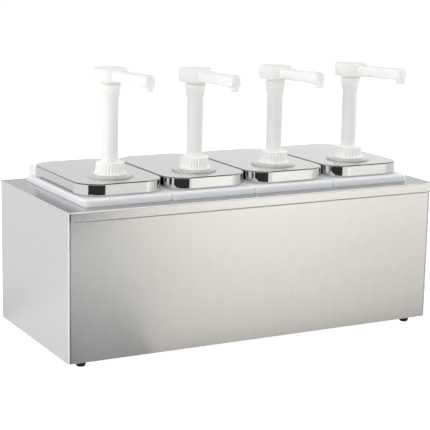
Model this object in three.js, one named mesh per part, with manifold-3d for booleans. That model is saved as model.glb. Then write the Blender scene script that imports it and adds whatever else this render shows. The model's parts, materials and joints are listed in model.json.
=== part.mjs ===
// Four-bay condiment pump station: a stainless steel box that holds four plastic pans side by side, each
// with a steel lid and a hand pump. Millimetres, +X along the box, +Y to the back, +Z up.
// Every piece is drawn with y = 0 on the front panel's face and z = 0 on the ground, and the whole station
// is centred front to back at the end.

import * as THREE from "three";
import { mergeVertices } from "three/addons/utils/BufferGeometryUtils.js";
import Module from "manifold-3d";

const wasm = await Module();
wasm.setup();

// Clearances and sheet thicknesses
const gap = 0.3;
const steel = 1.5;
const lidSteel = 1.2;

// Steel box
const frameLength = 566;
const frameOverhang = 2.7;
const boxDepth = 249.4;
const boxHeight = 200;
const apronHeight = 13;
const apronProud = 2.2;
const apronInset = 3;
const hemThickness = 2.2;
const hemLength = 9;
const hemGap = 1.2;
const joggle = 1.7;
const joggleDrop = 0.8;
const footHeight = 9;
const footRadius = 7.4;
const soleRadius = 5.8;
const footInset = [24, 17];

// Pans
const bays = 4;
const cornerSteps = 3;
const pitch = 126.5;
const panMiddle = 125.7;
const rimSize = [126, 213.4, 8];
const rimHeight = 10.2;
const rimSkirt = 2.5;
const rimTop = 2.5;
const bodySize = [116.5, 190, 30];
const openingSize = [118.5, 193, 31];
const mouthSize = [112.5, 185, 28];
const panDepth = 170;
const panFloor = 2.5;
const panTaper = 0.94;
const tabWidth = 15;
const tabHeight = 13.5;
const tabThickness = 2.5;
const tabInset = 3;

// Lids
const lidSize = [124, 193.7, 32.9];
const lidSkirt = 16.6;
const lipSize = [111, 183.4, 27.2];
const lipDepth = 5;

// Pumps
const axisShift = 1.4;
const axisSetback = 84;
const firstPumpRise = 4.5;
const headYaw = [8.7, 7.2, 9.5, 16.6];
const discRadius = 30.8;
const discThickness = 2.1;
const neckRadius = 16.5;
const boreRadius = 12.5;
const stemRadius = 11.2;
const stemBore = 6.5;
const capHeight = 16.6;
const capTopRadius = 19.4;
const capFootRadius = 22.4;
const capThickness = 3;
const capFlare = 5;
const capRibs = 16;
const ribDepth = 0.9;
const plungerTravel = 83.2;
const collarHeight = 16;
const collarRadius = [12.8, 14.3];
const collarGrooves = 3;
const grooveDepth = 0.7;
const grooveWidth = 0.6;
const stroke = 80;
const guideLength = 30.4;
const shoulderRadius = 20.5;
const shoulderHeight = 3;
const cylinderEnd = 4;
const spigotRadius = 8.6;
const spigotLength = 12;
const chamberLength = 14;
const cageRadius = 3.6;
const seatRadius = 3;
const springSolid = 14;
const springRadius = 10.2;
const springWire = 0.7;
const springTurns = 5;
const sealRadius = 12.2;
const sealHeight = 8;
const sealWaist = 1;
const sealSeatRadius = 8;
const stemFoot = 3.2;
const hubRadius = 23.5;
const hubHeight = 18;
const hubNeckRadius = 13.4;
const hubNeckHeight = 4.3;
const hubDrop = 1.5;
const socketDepth = 7;
const spoutReach = 90;
const spoutEnd = 96;
const spoutWidth = [24, 20];
const spoutHeight = 15.7;
const nozzleRadius = 6.75;
const nozzleDrop = 6;
const nozzleBore = 4;
const channelRadius = 3.5;
const ballRadius = 4.2;
const ballClearance = 1.2;
const tubeWall = 1.2;
const tubeLift = 4.5;

// Levels above the ground
const plateTop = footHeight + boxHeight;
const rimBottom = plateTop + gap;
const rimTopLevel = rimBottom + rimHeight;
const lidBottom = rimTopLevel + gap;
const lidTop = lidBottom + lidSkirt;
const discBottom = lidTop + gap;
const discTop = discBottom + discThickness;
const capBottom = discTop + gap;
const capTop = capBottom + capHeight;
const collarBottom = capTop + plungerTravel;
const hubNeckBottom = collarBottom + collarHeight + gap;
const hubBottom = hubNeckBottom + hubNeckHeight;
const panBottom = plateTop - panDepth;
const neckTop = capTop - capThickness - gap;
const sealStop = neckTop - guideLength;
const sealTop = sealStop - gap - firstPumpRise;
const sealBottom = sealTop - sealHeight;
const stemBottom = sealBottom - stemFoot;
const cylinderFloor = stemBottom - stroke - springSolid;
const seatLevel = cylinderFloor - chamberLength;
const seatBottom = seatLevel - cylinderEnd;
const chamberRadius = ballRadius + ballClearance;

const materials = {
  brushed_steel: new THREE.MeshStandardMaterial({ color: 0xc9c7c3, roughness: 0.38, metalness: 1 }),
  polished_steel: new THREE.MeshStandardMaterial({ color: 0xd8d7d4, roughness: 0.15, metalness: 1 }),
  spring_steel: new THREE.MeshStandardMaterial({ color: 0xb9b9b9, roughness: 0.3, metalness: 1 }),
  pan_plastic: new THREE.MeshStandardMaterial({ color: 0xe6ebf2, roughness: 0.35, metalness: 0 }),
  pump_plastic: new THREE.MeshStandardMaterial({ color: 0xf1f1ee, roughness: 0.3, metalness: 0 }),
  seal_rubber: new THREE.MeshStandardMaterial({ color: 0x8f9296, roughness: 0.7, metalness: 0 }),
  foot_rubber: new THREE.MeshStandardMaterial({ color: 0x17181a, roughness: 0.8, metalness: 0 }),
};

const group = new THREE.Group();
group.name = "condiment_pump_station";

function add(name, geometry, material) {
  const mesh = new THREE.Mesh(geometry, material.clone());
  mesh.name = name;
  group.add(mesh);
}

// Turns a geometry into a solid that can be cut and joined.
function solid(geometry) {
  const bare = geometry.clone();
  bare.deleteAttribute("normal");
  bare.deleteAttribute("uv");
  const merged = mergeVertices(bare, 1e-4);
  const corners = merged.index.array;
  const kept = [];
  for (let i = 0; i < corners.length; i += 3) {
    const [a, b, c] = [corners[i], corners[i + 1], corners[i + 2]];
    if (a !== b && b !== c && c !== a) kept.push(a, b, c);
  }
  const mesh = new wasm.Mesh({
    numProp: 3,
    vertProperties: new Float32Array(merged.attributes.position.array),
    triVerts: new Uint32Array(kept),
  });
  return new wasm.Manifold(mesh);
}

function geometryOf(body) {
  const mesh = body.getMesh();
  const geometry = new THREE.BufferGeometry();
  geometry.setAttribute("position", new THREE.BufferAttribute(new Float32Array(mesh.vertProperties), 3));
  geometry.setIndex(new THREE.BufferAttribute(new Uint32Array(mesh.triVerts), 1));
  geometry.computeVertexNormals();
  return geometry;
}

function rectangle(left, right, front, back) {
  const shape = new THREE.Shape();
  shape.moveTo(left, front);
  shape.lineTo(right, front);
  shape.lineTo(right, back);
  shape.lineTo(left, back);
  shape.closePath();
  return shape;
}

function roundedRectangle([width, depth, radius]) {
  const [x, y] = [width / 2 - radius, depth / 2 - radius];
  const shape = new THREE.Shape();
  shape.absarc(x, -y, radius, -Math.PI / 2, 0);
  shape.absarc(x, y, radius, 0, Math.PI / 2);
  shape.absarc(-x, y, radius, Math.PI / 2, Math.PI);
  shape.absarc(-x, -y, radius, Math.PI, 1.5 * Math.PI);
  shape.closePath();
  return shape;
}

// A shape drawn in plan, raised from one level to another.
function prism(shape, low, high, curveSegments = cornerSteps) {
  const geometry = new THREE.ExtrudeGeometry(shape, { depth: high - low, bevelEnabled: false, curveSegments });
  return geometry.translate(0, 0, low);
}

// The same with its upper and lower edges bevelled.
function bevelledPrism(shape, low, high, radius, curveSegments = cornerSteps) {
  const options = {
    depth: high - low - 2 * radius,
    bevelThickness: radius,
    bevelSize: radius,
    bevelOffset: -radius,
    bevelSegments: 1,
    curveSegments,
  };
  return new THREE.ExtrudeGeometry(shape, options).translate(0, 0, low + radius);
}

// A round piece from a profile of [radius, height] points.
function turned(profile, segments = 16) {
  const points = profile.map(([radius, height]) => new THREE.Vector2(radius, height));
  return new THREE.LatheGeometry(points, segments).rotateX(Math.PI / 2);
}

function drum(radius, low, high, segments = 16) {
  return turned([[0, low], [radius, low], [radius, high], [0, high]], segments);
}

function ring(inner, outer, low, high, segments = 12) {
  return turned([[inner, low], [outer, low], [outer, high], [inner, high], [inner, low]], segments);
}

// Narrows a geometry towards its lower end.
function taperDown(geometry, low, high, lowScale) {
  const position = geometry.attributes.position;
  for (let i = 0; i < position.count; i += 1) {
    const share = (position.getZ(i) - low) / (high - low);
    const scale = lowScale + (1 - lowScale) * share;
    position.setXY(i, position.getX(i) * scale, position.getY(i) * scale);
  }
  return geometry;
}

const frameEnd = frameLength / 2;
const boxLeft = -frameEnd;
const boxRight = frameEnd - frameOverhang;
const bayCentres = [];
for (let i = 0; i < bays; i += 1) bayCentres.push((i - (bays - 1) / 2) * pitch);

// Top plate with one opening per pan and a folded apron along the front and the back.
function topFrame() {
  const [front, back] = [-apronProud, boxDepth + apronProud];
  const apronBottom = plateTop - apronHeight;
  const [apronLeft, apronRight] = [boxLeft + apronInset, frameEnd];
  let body = solid(prism(rectangle(boxLeft, frameEnd, front, back), plateTop - steel, plateTop));
  const frontApron = rectangle(apronLeft, apronRight, front, front + steel);
  const backApron = rectangle(apronLeft, apronRight, back - steel, back);
  body = body.add(solid(prism(frontApron, apronBottom, plateTop)));
  body = body.add(solid(prism(backApron, apronBottom, plateTop)));
  for (const centre of bayCentres) {
    const opening = prism(roundedRectangle(openingSize), plateTop - 2 * steel, plateTop + steel);
    body = body.subtract(solid(opening.translate(centre, panMiddle, 0)));
  }
  return geometryOf(body);
}

// Side panel in plan: a sheet whose front and back edges are folded back on themselves.
function sidePanel(outerFace, inward) {
  const shape = new THREE.Shape();
  const nose = hemThickness / 2;
  const hemFace = outerFace + inward * hemThickness;
  const sheetFace = outerFace + inward * steel;
  const middle = outerFace + inward * nose;
  shape.moveTo(outerFace, nose);
  shape.quadraticCurveTo(outerFace, 0, middle, 0);
  shape.quadraticCurveTo(hemFace, 0, hemFace, nose);
  shape.lineTo(hemFace, hemLength);
  shape.lineTo(sheetFace, hemLength);
  shape.lineTo(sheetFace, boxDepth - hemLength);
  shape.lineTo(hemFace, boxDepth - hemLength);
  shape.lineTo(hemFace, boxDepth - nose);
  shape.quadraticCurveTo(hemFace, boxDepth, middle, boxDepth);
  shape.quadraticCurveTo(outerFace, boxDepth, outerFace, boxDepth - nose);
  shape.closePath();
  return prism(shape, footHeight, plateTop - steel - gap, 4);
}

// Front or back panel between the hems of the two side panels. Just below the apron it steps inwards, and
// it runs on up behind the apron. A profile of (depth, height) is drawn and laid along the box.
function endPanel() {
  const reveal = hemThickness + hemGap;
  const step = plateTop - apronHeight - joggleDrop;
  const top = plateTop - steel - gap;
  const profile = new THREE.Shape();
  profile.moveTo(0, footHeight);
  profile.lineTo(steel, footHeight);
  profile.lineTo(steel, step - steel);
  profile.lineTo(steel + joggle, step - steel);
  profile.lineTo(steel + joggle, top);
  profile.lineTo(joggle, top);
  profile.lineTo(joggle, step);
  profile.lineTo(0, step);
  profile.closePath();
  const panel = prism(profile, boxLeft + reveal, boxRight - reveal);
  return panel.rotateX(Math.PI / 2).rotateZ(Math.PI / 2);
}

function bottomPanel() {
  const side = hemThickness + gap;
  const wall = steel + gap;
  const shape = rectangle(boxLeft + side, boxRight - side, wall, boxDepth - wall);
  return prism(shape, footHeight, footHeight + steel);
}

function foot(x, y) {
  const top = footHeight - gap;
  const profile = [[0, 0], [soleRadius - 1, 0], [soleRadius, 1], [footRadius, 5], [footRadius, top], [0, top]];
  return turned(profile, 12).translate(x, y, 0);
}

// Plastic pan: a tapered tub under a hollow rim, with an upright finger tab on the rim's back left corner.
function pan(centre) {
  const bodyTop = rimTopLevel;
  const tub = taperDown(prism(roundedRectangle(bodySize), panBottom, bodyTop), panBottom, bodyTop, panTaper);
  const inside = prism(roundedRectangle(mouthSize), panBottom + panFloor, bodyTop + gap);
  const cavity = taperDown(inside, panBottom + panFloor, bodyTop + gap, panTaper);
  const rim = solid(bevelledPrism(roundedRectangle(rimSize), rimBottom, rimTopLevel, 1));
  const [width, depth, radius] = rimSize;
  const grooveSize = [width - 2 * rimSkirt, depth - 2 * rimSkirt, radius - rimSkirt];
  const groove = solid(prism(roundedRectangle(grooveSize), rimBottom - gap, rimTopLevel - rimTop));
  const core = solid(prism(roundedRectangle(bodySize), rimBottom - 1, rimTopLevel));
  let body = rim.subtract(groove.subtract(core)).add(solid(tub));
  body = body.subtract(solid(cavity)).add(solid(fingerTab()));
  return geometryOf(body).translate(centre, panMiddle, 0);
}

function fingerTab() {
  const tipRadius = 4.4;
  const shape = new THREE.Shape();
  shape.moveTo(-tabWidth / 2, -1);
  shape.lineTo(tabWidth / 2, -1);
  shape.lineTo(tipRadius, tabHeight - tipRadius);
  shape.absarc(0, tabHeight - tipRadius, tipRadius, 0, Math.PI);
  shape.closePath();
  const upright = prism(shape, 0, tabThickness, 5).rotateX(Math.PI / 2);
  const x = -rimSize[0] / 2 + tabWidth / 2 + gap;
  const y = rimSize[1] / 2 - tabInset;
  return upright.translate(x, y, rimTopLevel);
}

// Steel lid: a deep cap whose lower edge turns inwards and ends in a lip that drops into the pan's mouth.
function lid(centre) {
  const [width, depth, radius] = lidSize;
  const hollowSize = [width - 2 * lidSteel, depth - 2 * lidSteel, radius - lidSteel];
  const lipInside = lipSize.map((size, i) => size - (i < 2 ? 2 : 1) * lidSteel);
  let body = solid(bevelledPrism(roundedRectangle(lidSize), lidBottom, lidTop, 0.9));
  const hollow = prism(roundedRectangle(hollowSize), lidBottom + lidSteel, lidTop - lidSteel);
  const lip = prism(roundedRectangle(lipSize), lidBottom - lipDepth, lidBottom + lidSteel);
  const mouth = prism(roundedRectangle(lipInside), lidBottom - lipDepth - 1, lidBottom + 2 * lidSteel);
  body = body.add(solid(lip)).subtract(solid(hollow)).subtract(solid(mouth));
  const hole = drum(neckRadius + gap, lidTop - 3 * lidSteel, lidTop + 1);
  body = body.subtract(solid(hole.translate(axisShift, axisSetback - panMiddle, 0)));
  return geometryOf(body).translate(centre, panMiddle, 0);
}

// Thin steel disc between the lid and the cap nut.
function disc() {
  return ring(neckRadius + gap, discRadius, discBottom, discTop, 24);
}

// Ribbed cap nut that clamps the pump to the lid; it flares outwards at its foot.
function capNut() {
  const shape = new THREE.Shape();
  for (let i = 0; i < capRibs; i += 1) {
    const step = (2 * Math.PI) / capRibs;
    const corners = [[0, 1], [0.5, 1], [0.6, 0], [0.9, 0]];
    corners.forEach(([share, raised], k) => {
      const radius = capTopRadius - (1 - raised) * ribDepth;
      const angle = (i + share) * step;
      const [x, y] = [radius * Math.cos(angle), radius * Math.sin(angle)];
      if (i === 0 && k === 0) shape.moveTo(x, y);
      else shape.lineTo(x, y);
    });
  }
  shape.closePath();
  const flareTop = capBottom + capFlare;
  const crown = capTopRadius - ribDepth;
  const hem = [[0, capBottom], [capFootRadius, capBottom], [capFootRadius, capBottom + 1.2]];
  const flare = turned([...hem, [crown, flareTop], [0, flareTop]], 20);
  const edge = [[0, capTop - 2], [crown, capTop - 2], [crown - 1.2, capTop], [0, capTop]];
  let body = solid(prism(shape, capBottom + 2, capTop - 1.5)).add(solid(flare)).add(solid(turned(edge)));
  body = body.subtract(solid(drum(neckRadius + gap, capBottom - 1, capTop - capThickness)));
  body = body.subtract(solid(drum(stemRadius + gap, capTop - capThickness - 1, capTop + 1)));
  return geometryOf(body);
}

// Pump cylinder: it hangs through the lid from the cap nut, guides the stem in its neck, and ends in the
// inlet valve's chamber and a socket for the suction tube.
function cylinder() {
  const shoulderTop = lidTop - lidSteel - gap;
  const spigotBottom = seatLevel - spigotLength;
  const barrelBottom = cylinderFloor - cylinderEnd;
  return turned([
    [chamberRadius, spigotBottom],
    [spigotRadius, spigotBottom],
    [spigotRadius, barrelBottom],
    [neckRadius, barrelBottom],
    [neckRadius, shoulderTop - shoulderHeight],
    [shoulderRadius, shoulderTop - shoulderHeight],
    [shoulderRadius, shoulderTop],
    [neckRadius, shoulderTop],
    [neckRadius, neckTop],
    [stemRadius + gap, neckTop],
    [stemRadius + gap, sealStop],
    [boreRadius, sealStop],
    [boreRadius, cylinderFloor],
    [cageRadius, cylinderFloor],
    [cageRadius, barrelBottom],
    [chamberRadius, barrelBottom],
    [chamberRadius, seatLevel],
    [seatRadius, seatLevel],
    [seatRadius, seatBottom],
    [chamberRadius, seatBottom],
    [chamberRadius, spigotBottom],
  ]);
}

function suctionTube() {
  const outer = chamberRadius - gap;
  return ring(outer - tubeWall, outer, panBottom + panFloor + tubeLift, seatBottom - gap);
}

// Ball resting on the rim of the inlet's seat, with a hair's clearance.
function inletBall() {
  const height = seatLevel + Math.sqrt(ballRadius ** 2 - seatRadius ** 2) + gap / 2;
  return new THREE.SphereGeometry(ballRadius, 10, 6).rotateX(Math.PI / 2).translate(0, 0, height);
}

// Return spring between the cylinder's floor and the stem's foot.
function returnSpring(rise) {
  const low = cylinderFloor + springWire + gap;
  const high = stemBottom + rise - springWire - gap;
  class Coil extends THREE.Curve {
    getPoint(share, target = new THREE.Vector3()) {
      const angle = 2 * Math.PI * springTurns * share;
      const height = low + (high - low) * share;
      return target.set(springRadius * Math.cos(angle), springRadius * Math.sin(angle), height);
    }
  }
  const wire = new THREE.Shape();
  wire.absarc(0, 0, springWire, 0, 2 * Math.PI);
  const options = { steps: springTurns * 10, extrudePath: new Coil(), curveSegments: 2, bevelEnabled: false };
  return new THREE.ExtrudeGeometry(wire, options);
}

// Hollow plunger stem; its foot is stepped to hold the piston seal.
function stem() {
  const stemTop = hubNeckBottom + socketDepth;
  return turned([
    [stemBore, stemBottom],
    [stemRadius, stemBottom],
    [stemRadius, sealBottom - gap],
    [sealSeatRadius, sealBottom - gap],
    [sealSeatRadius, sealTop + gap],
    [stemRadius, sealTop + gap],
    [stemRadius, stemTop],
    [stemBore, stemTop],
    [stemBore, stemBottom],
  ]);
}

function pistonSeal() {
  const inner = sealSeatRadius + gap;
  return turned([
    [inner, sealBottom],
    [sealRadius, sealBottom],
    [sealRadius - sealWaist, (sealBottom + sealTop) / 2],
    [sealRadius, sealTop],
    [inner, sealTop],
    [inner, sealBottom],
  ]);
}

// Grooved sleeve on the stem under the head; it widens upwards.
function collar() {
  const inner = stemRadius + gap;
  const top = collarBottom + collarHeight;
  const band = collarHeight / (collarGrooves + 1);
  const profile = [[inner, collarBottom]];
  for (let i = 0; i <= collarGrooves; i += 1) {
    const radius = collarRadius[0] + ((collarRadius[1] - collarRadius[0]) * i) / collarGrooves;
    const low = collarBottom + i * band;
    if (i > 0) profile.push([radius - grooveDepth, low + grooveWidth]);
    profile.push([radius, i > 0 ? low + grooveWidth : low], [radius, low + band]);
    if (i < collarGrooves) profile.push([radius - grooveDepth, low + band]);
  }
  profile.push([inner, top], [inner, collarBottom]);
  return turned(profile);
}

// Pump head: a domed hub over the stem and a level spout with a nozzle under its tip, drawn pointing to
// the front. A passage runs from the stem's socket to the nozzle.
function head() {
  const hubTop = hubBottom + hubHeight;
  const hub = turned([
    [0, hubNeckBottom],
    [hubNeckRadius, hubNeckBottom],
    [hubNeckRadius, hubBottom - hubDrop],
    [hubRadius - 1.5, hubBottom - hubDrop],
    [hubRadius, hubBottom - hubDrop + 1.5],
    [hubRadius, hubTop - 2.6],
    [hubRadius - 2.4, hubTop - 0.6],
    [0, hubTop],
  ], 20);
  const [root, tip] = [spoutWidth[0] / 2, spoutWidth[1] / 2];
  const corner = 7;
  const plan = new THREE.Shape();
  plan.moveTo(-root, 0);
  plan.lineTo(-tip, -spoutEnd + corner);
  plan.quadraticCurveTo(-tip, -spoutEnd, -tip + corner, -spoutEnd);
  plan.lineTo(tip - corner, -spoutEnd);
  plan.quadraticCurveTo(tip, -spoutEnd, tip, -spoutEnd + corner);
  plan.lineTo(root, 0);
  plan.closePath();
  const spout = bevelledPrism(plan, hubBottom, hubBottom + spoutHeight, 3.5);
  const nozzleBottom = hubBottom - nozzleDrop;
  const passage = hubBottom + spoutHeight / 2;
  const nozzle = drum(nozzleRadius, nozzleBottom, hubBottom + 5, 12).translate(0, -spoutReach, 0);
  const outlet = drum(nozzleBore, nozzleBottom - 1, passage, 8).translate(0, -spoutReach, 0);
  const channel = drum(channelRadius, 0, spoutReach + 1, 8).rotateX(Math.PI / 2).translate(0, 0, passage);
  const socket = drum(stemRadius + gap, hubNeckBottom - 1, hubNeckBottom + socketDepth + gap);
  const chamber = drum(stemBore, hubNeckBottom + socketDepth - 1, passage + channelRadius, 8);
  let body = solid(hub).add(solid(spout)).add(solid(nozzle));
  for (const cut of [outlet, channel, socket, chamber]) body = body.subtract(solid(cut));
  return geometryOf(body);
}

add("top_frame", topFrame(), materials.brushed_steel);
add("front_panel", endPanel(), materials.brushed_steel);
add("back_panel", endPanel().rotateZ(Math.PI).translate(-frameOverhang, boxDepth, 0), materials.brushed_steel);
add("left_panel", sidePanel(boxLeft, 1), materials.brushed_steel);
add("right_panel", sidePanel(boxRight, -1), materials.brushed_steel);
add("bottom_panel", bottomPanel(), materials.brushed_steel);

const footPlaces = {
  foot_front_left: [boxLeft + footInset[0], footInset[1]],
  foot_front_right: [boxRight - footInset[0], footInset[1]],
  foot_back_left: [boxLeft + footInset[0], boxDepth - footInset[1]],
  foot_back_right: [boxRight - footInset[0], boxDepth - footInset[1]],
};
for (const [name, [x, y]] of Object.entries(footPlaces)) add(name, foot(x, y), materials.foot_rubber);

bayCentres.forEach((centre, i) => {
  const bay = i + 1;
  const rise = i === 0 ? firstPumpRise : 0;
  const yaw = THREE.MathUtils.degToRad(headYaw[i]);
  const place = (geometry, up = 0) => geometry.translate(centre + axisShift, axisSetback, up);
  add(`pan_${bay}`, pan(centre), materials.pan_plastic);
  add(`lid_${bay}`, lid(centre), materials.polished_steel);
  add(`disc_${bay}`, place(disc()), materials.polished_steel);
  add(`cap_nut_${bay}`, place(capNut()), materials.pump_plastic);
  add(`cylinder_${bay}`, place(cylinder()), materials.pump_plastic);
  add(`suction_tube_${bay}`, place(suctionTube()), materials.pump_plastic);
  add(`inlet_ball_${bay}`, place(inletBall()), materials.polished_steel);
  add(`return_spring_${bay}`, place(returnSpring(rise)), materials.spring_steel);
  add(`stem_${bay}`, place(stem(), rise), materials.pump_plastic);
  add(`piston_seal_${bay}`, place(pistonSeal(), rise), materials.seal_rubber);
  add(`collar_${bay}`, place(collar(), rise), materials.pump_plastic);
  add(`head_${bay}`, place(head().rotateZ(yaw), rise), materials.pump_plastic);
});

// Centre the station front to back.
const bounds = new THREE.Box3().setFromObject(group);
const shift = -(bounds.min.y + bounds.max.y) / 2;
for (const mesh of group.children) mesh.geometry.translate(0, shift, 0);

export default group;
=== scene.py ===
import json
import math

import bmesh
import bpy
from mathutils import Matrix, Vector


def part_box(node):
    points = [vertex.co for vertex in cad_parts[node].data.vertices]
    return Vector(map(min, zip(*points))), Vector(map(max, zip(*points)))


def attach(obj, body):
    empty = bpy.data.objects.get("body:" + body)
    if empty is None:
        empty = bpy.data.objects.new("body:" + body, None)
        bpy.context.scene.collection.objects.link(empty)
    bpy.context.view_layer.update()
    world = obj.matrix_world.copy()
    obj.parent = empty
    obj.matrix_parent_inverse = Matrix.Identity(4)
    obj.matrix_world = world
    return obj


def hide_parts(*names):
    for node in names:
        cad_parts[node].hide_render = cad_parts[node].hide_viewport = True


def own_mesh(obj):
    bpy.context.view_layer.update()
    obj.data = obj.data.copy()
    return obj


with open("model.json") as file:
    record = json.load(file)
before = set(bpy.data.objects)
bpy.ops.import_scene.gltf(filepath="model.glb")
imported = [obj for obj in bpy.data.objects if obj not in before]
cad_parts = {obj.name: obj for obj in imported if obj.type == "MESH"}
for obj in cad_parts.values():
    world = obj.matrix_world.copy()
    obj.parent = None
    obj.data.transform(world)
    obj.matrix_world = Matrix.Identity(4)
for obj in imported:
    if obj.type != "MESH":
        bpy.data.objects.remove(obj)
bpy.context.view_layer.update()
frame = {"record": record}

MM = 0.001
BAYS = (1, 2, 3, 4)
AXES = {joint["name"]: joint for joint in frame["record"]["behaviour"]["joints"]}


# ---------------------------------------------------------------- places, in millimetres


def cad(node):
    """Lowest and highest corner of a CAD node."""
    low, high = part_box(node)
    return Vector(low) / MM, Vector(high) / MM


def middle(node):
    low, high = cad(node)
    return (low + high) / 2


# ---------------------------------------------------------------- outlines and surfaces


def rounded(corners, closed=False, steps=5):
    """A polyline of (a, b, radius) corners with each corner rounded to its radius."""
    points = []
    count = len(corners)
    for i, (a, b, radius) in enumerate(corners):
        here = Vector((a, b))
        if radius <= 0 or (not closed and i in (0, count - 1)):
            points.append((a, b))
            continue
        before = Vector(corners[i - 1][:2]) - here
        after = Vector(corners[(i + 1) % count][:2]) - here
        turn = before.angle(after)
        reach = radius / math.tan(turn / 2)
        start = here + before.normalized() * reach
        end = here + after.normalized() * reach
        bisector = (before.normalized() + after.normalized()).normalized()
        centre = here + bisector * (radius / math.sin(turn / 2))
        spoke, last = start - centre, end - centre
        sweep = math.pi - turn
        side = 1 if spoke.x * last.y - spoke.y * last.x > 0 else -1
        for k in range(steps + 1):
            angle = side * sweep * k / steps
            cos, sin = math.cos(angle), math.sin(angle)
            point = centre + Vector((spoke.x * cos - spoke.y * sin, spoke.x * sin + spoke.y * cos))
            points.append((point.x, point.y))
    return points


def rounded_ring(centre, half_x, half_y, radius, z, steps=10):
    """Points round a rounded rectangle, the same number whatever its size."""
    points = []
    for quarter in range(4):
        sign_x = (1, -1, -1, 1)[quarter]
        sign_y = (1, 1, -1, -1)[quarter]
        corner = (centre[0] + sign_x * (half_x - radius), centre[1] + sign_y * (half_y - radius))
        for k in range(steps + 1):
            angle = math.pi / 2 * (quarter + k / steps)
            points.append((corner[0] + radius * math.cos(angle), corner[1] + radius * math.sin(angle), z))
    return points


def round_ring(centre, radius, z, segments):
    turns = [2 * math.pi * k / segments for k in range(segments)]
    return [(centre[0] + radius * math.cos(t), centre[1] + radius * math.sin(t), z) for t in turns]


def skin(rings, loop=False):
    """Vertices and faces through rings of equal length, capped at both ends unless loop is set."""
    size = len(rings[0])
    vertices = [point for ring in rings for point in ring]
    faces = []
    last = len(rings) if loop else len(rings) - 1
    for i in range(last):
        low, high = i * size, ((i + 1) % len(rings)) * size
        for k in range(size):
            after = (k + 1) % size
            faces.append((low + k, low + after, high + after, high + k))
    if not loop:
        faces.append(tuple(reversed(range(size))))
        faces.append(tuple(range(last * size, (last + 1) * size)))
    return vertices, faces


def lathe(centre, profile, segments=72, loop=True):
    """A round piece from (radius, z) points; with loop unset the ends are capped flat."""
    return skin([round_ring(centre, radius, z, segments) for radius, z in profile], loop)


def bar(outline, low, high, axis):
    """A closed outline drawn out along X from (y, z) points, or along Z from (x, y) points."""
    if axis == "x":
        rings = [[(x, a, b) for a, b in outline] for x in (low, high)]
    else:
        rings = [[(a, b, z) for a, b in outline] for z in (low, high)]
    return skin(rings)


def new_mesh(name, vertices, faces):
    mesh = bpy.data.meshes.new(name)
    mesh.from_pydata([Vector(v) * MM for v in vertices], [], faces)
    clean = bmesh.new()
    clean.from_mesh(mesh)
    bmesh.ops.remove_doubles(clean, verts=clean.verts, dist=1e-7)
    bmesh.ops.recalc_face_normals(clean, faces=clean.faces)
    clean.to_mesh(mesh)
    clean.free()
    return mesh


def new_object(name, mesh):
    obj = bpy.data.objects.new(name, mesh)
    bpy.context.scene.collection.objects.link(obj)
    return obj


def solid(name, shape):
    """An object from a shape's vertices and faces."""
    return new_object(name, new_mesh(name, *shape))


def settle(obj):
    """Replaces an object's mesh by the result of its modifiers."""
    bpy.context.view_layer.update()
    graph = bpy.context.evaluated_depsgraph_get()
    mesh = bpy.data.meshes.new_from_object(obj.evaluated_get(graph))
    obj.modifiers.clear()
    obj.data = mesh


def combine(obj, tools, operation):
    """Joins solids to obj, or cuts them from it, and removes them."""
    for tool in tools:
        modifier = obj.modifiers.new("solid", "BOOLEAN")
        modifier.object = tool
        modifier.operation = operation
        modifier.solver = "EXACT"
    settle(obj)
    for tool in tools:
        bpy.data.objects.remove(tool)


def finish_piece(obj, body, nodes, materials, sharp=35):
    """Shading, materials, and what the piece stands for."""
    obj.data.materials.clear()
    for material in materials:
        obj.data.materials.append(material)
    for polygon in obj.data.polygons:
        polygon.use_smooth = True
    obj.data.set_sharp_from_angle(angle=math.radians(sharp))
    flat = obj.modifiers.new("flat", "WEIGHTED_NORMAL")
    flat.keep_sharp = True
    settle(obj)
    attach(obj, body)
    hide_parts(*nodes)
    return obj


def piece(name, shape, body, nodes, material, sharp=35):
    return finish_piece(solid(name, shape), body, nodes, [material], sharp)


# ---------------------------------------------------------------- materials


def start_material(name):
    material = bpy.data.materials.new(name)
    material.use_nodes = True
    tree = material.node_tree
    return material, tree, tree.nodes["Principled BSDF"]


def noise(tree, scale, stretch=(1, 1, 1), detail=3.0, rough=0.55):
    """A noise texture in object space, stretched along the axes."""
    place = tree.nodes.new("ShaderNodeTexCoord")
    mapping = tree.nodes.new("ShaderNodeMapping")
    mapping.inputs["Scale"].default_value = stretch
    texture = tree.nodes.new("ShaderNodeTexNoise")
    texture.inputs["Scale"].default_value = scale
    texture.inputs["Detail"].default_value = detail
    texture.inputs["Roughness"].default_value = rough
    tree.links.new(place.outputs["Object"], mapping.inputs["Vector"])
    tree.links.new(mapping.outputs["Vector"], texture.inputs["Vector"])
    return texture.outputs["Fac"]


def ramp(tree, value, low, high, positions=(0.3, 0.7)):
    """Colours or grey levels between low and high, following value."""
    node = tree.nodes.new("ShaderNodeValToRGB")
    for element, position, colour in zip(node.color_ramp.elements, positions, (low, high)):
        element.position = position
        element.color = (*colour, 1) if isinstance(colour, tuple) else (colour, colour, colour, 1)
    tree.links.new(value, node.inputs["Fac"])
    return node.outputs["Color"]


def blend_values(tree, first, second, factor, mode="MIX"):
    """Mixes two values or colours, or multiplies them."""
    node = tree.nodes.new("ShaderNodeMix")
    node.data_type = "RGBA"
    node.blend_type = mode
    node.inputs["Factor"].default_value = factor
    tree.links.new(first, node.inputs["A"])
    tree.links.new(second, node.inputs["B"])
    return node.outputs["Result"]


def bump(tree, shader, height, distance):
    node = tree.nodes.new("ShaderNodeBump")
    node.inputs["Strength"].default_value = 1.0
    node.inputs["Distance"].default_value = distance
    tree.links.new(height, node.inputs["Height"])
    tree.links.new(node.outputs["Normal"], shader.inputs["Normal"])


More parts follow.
